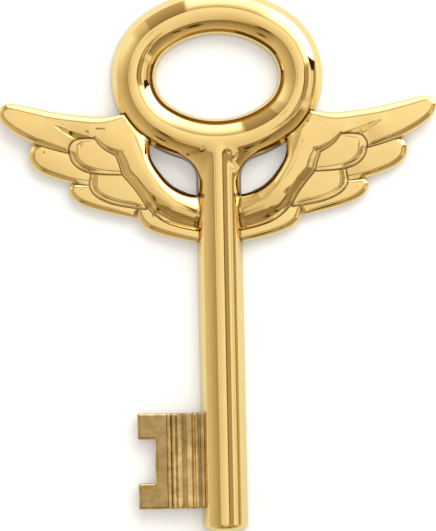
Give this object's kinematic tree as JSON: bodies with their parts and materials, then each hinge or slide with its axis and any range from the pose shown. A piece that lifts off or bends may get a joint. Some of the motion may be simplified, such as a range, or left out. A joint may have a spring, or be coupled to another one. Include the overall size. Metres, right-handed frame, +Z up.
{
  "type": "winged key ornament",
  "caption": "Flat-backed decorative key with an oval bow, half-round shank, two feathered wings and a fluted two-toothed bit, fixed by two tapped holes in its back.",
  "frame": {"origin": "midway between the two fixing holes, on the flat back", "axes": "+X to the viewer's right, +Y out of the back towards the wall, +Z up along the shank towards the bow"},
  "size_m": [0.1616, 0.0092, 0.1997],
  "materials": {
    "polished_gold": "mirror-polished gold plate on cast brass, with faint polishing marks",
    "worn_gold": "gold plate on cast brass, a little duller and mottled",
    "plate_brass": "satin rolled brass",
    "screw_brass": "turned brass"
  },
  "bodies": {
    "root": {"bow_and_shank": "polished_gold", "bit_web": "worn_gold", "bit_tooth_plate": "worn_gold", "bit_back_plate": "plate_brass", "left_wing_plate": "plate_brass", "left_wing_arm": "polished_gold", "left_upper_covert": "polished_gold", "left_lower_covert": "polished_gold", "left_middle_primary": "polished_gold", "left_lower_primary": "polished_gold", "left_root_feather": "polished_gold", "right_wing_plate": "plate_brass", "right_wing_arm": "polished_gold", "right_upper_covert": "polished_gold", "right_lower_covert": "polished_gold", "right_middle_primary": "polished_gold", "right_lower_primary": "polished_gold", "right_root_feather": "polished_gold", "plate_screws": "screw_brass", "feather_screws": "screw_brass"}
  },
  "joints": []
}
